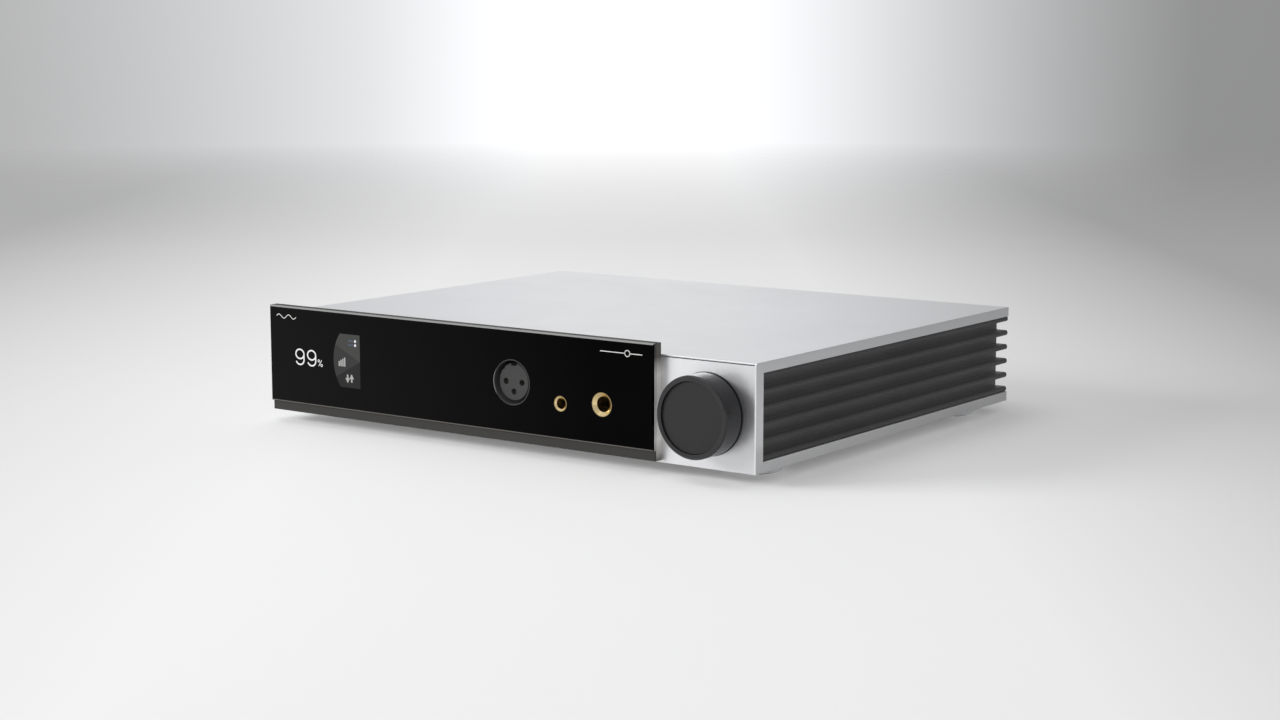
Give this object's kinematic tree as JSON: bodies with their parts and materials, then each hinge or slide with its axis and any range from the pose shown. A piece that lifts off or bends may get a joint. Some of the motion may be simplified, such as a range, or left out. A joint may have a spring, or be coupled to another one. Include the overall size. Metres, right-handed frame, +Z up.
{
  "type": "desktop dac",
  "caption": "Low desktop DAC and headphone amplifier with a black glass front panel, a large turning and pushing knob, finned sides and round feet.",
  "frame": {"origin": "middle of the footprint, on the surface that the feet stand on", "axes": "+Z up, the front panel and knob face -Y, +X to the right seen from the front"},
  "size_m": [0.262, 0.2354, 0.0535],
  "materials": {
    "aluminium_satin": "satin anodised",
    "aluminium_dark": "dark anodised",
    "black_glass": "gloss black glass, opaque",
    "knob_black": "black anodised",
    "knob_cap": "matte black",
    "gold": "gold plated",
    "black_plastic": "moulded",
    "white_plastic": "moulded",
    "black_steel": "black",
    "steel": "zinc plated",
    "rubber_pad": "matte",
    "screen": "display cell",
    "circuit_board": "solder mask",
    "copper_coil": "taped winding",
    "capacitor": "sleeved can",
    "glass_tube": "clear",
    "wire": "insulated"
  },
  "bodies": {
    "case": {"board_chips": "black_plastic", "bottom_plate": "aluminium_dark", "chassis_shell": "aluminium_satin", "control_board": "circuit_board", "display_module": "black_plastic", "display_ribbon": "white_plastic", "display_screen": "screen", "encoder_body": "steel", "encoder_nut": "steel", "filter_capacitors": "capacitor", "foot_front_left": "aluminium_satin", "foot_front_right": "aluminium_satin", "foot_pads": "rubber_pad", "foot_rear_left": "aluminium_satin", "foot_rear_right": "aluminium_satin", "front_glass": "black_glass", "front_plate": "aluminium_satin", "headphone_board": "circuit_board", "heat_sink_left": "aluminium_dark", "heat_sink_right": "aluminium_dark", "internal_screws": "steel", "jack_44_body": "black_plastic", "jack_44_bush": "gold", "jack_635_body": "black_plastic", "jack_635_bush": "gold", "knob_seat_ring": "black_plastic", "main_board": "circuit_board", "mains_inlet": "black_plastic", "mains_pins": "steel", "mains_wires": "wire", "optical_socket": "black_plastic", "panel_frame": "aluminium_dark", "phono_insulators": "white_plastic", "phono_shells": "gold", "power_board": "circuit_board", "rear_panel": "aluminium_dark", "rear_screws": "black_steel", "standoffs": "steel", "switch_housing": "black_plastic", "transformer_bolt": "steel", "transformer_clamp": "black_steel", "transformer_coil": "copper_coil", "underside_screws": "black_steel", "usb_socket": "steel", "usb_tongue": "white_plastic", "xlr_out_left": "black_steel", "xlr_out_pins": "gold", "xlr_out_right": "black_steel", "xlr_socket_contacts": "gold", "xlr_socket_core": "black_plastic", "xlr_socket_shell": "black_steel"},
    "knob_carriage": {"encoder_plunger": "white_plastic"},
    "knob": {"knob": "knob_black", "knob_cap": "knob_cap", "knob_set_screw": "black_steel", "encoder_shaft": "steel"},
    "rocker": {"switch_rocker": "black_plastic"},
    "fuse_drawer": {"fuse_drawer": "black_plastic", "fuse": "glass_tube"},
    "shutter": {"optical_shutter": "black_plastic"}
  },
  "joints": [
    {"name": "knob_push", "type": "slide", "parent": "case", "child": "knob_carriage", "axis": [0, 1, 0], "range_m": [0, 0.0005], "stiffness_N_per_m": 6000, "springref_m": -0.00025},
    {"name": "knob_turn", "type": "hinge", "parent": "knob_carriage", "child": "knob", "pos_m": [0.10855, -0.10635, 0.0269], "axis": [0, -1, 0], "continuous": true},
    {"name": "power_switch", "type": "hinge", "parent": "case", "child": "rocker", "pos_m": [-0.062, 0.10715, 0.026], "axis": [1, 0, 0], "range_deg": [0, 20]},
    {"name": "fuse_drawer_slide", "type": "slide", "parent": "case", "child": "fuse_drawer", "axis": [0, 1, 0], "range_m": [0, 0.012]},
    {"name": "shutter_hinge", "type": "hinge", "parent": "case", "child": "shutter", "pos_m": [0.004, 0.10885, 0.0226], "axis": [-1, 0, 0], "range_deg": [0, 80], "stiffness_Nm_per_rad": 0.001, "springref_deg": -20.05}
  ]
}
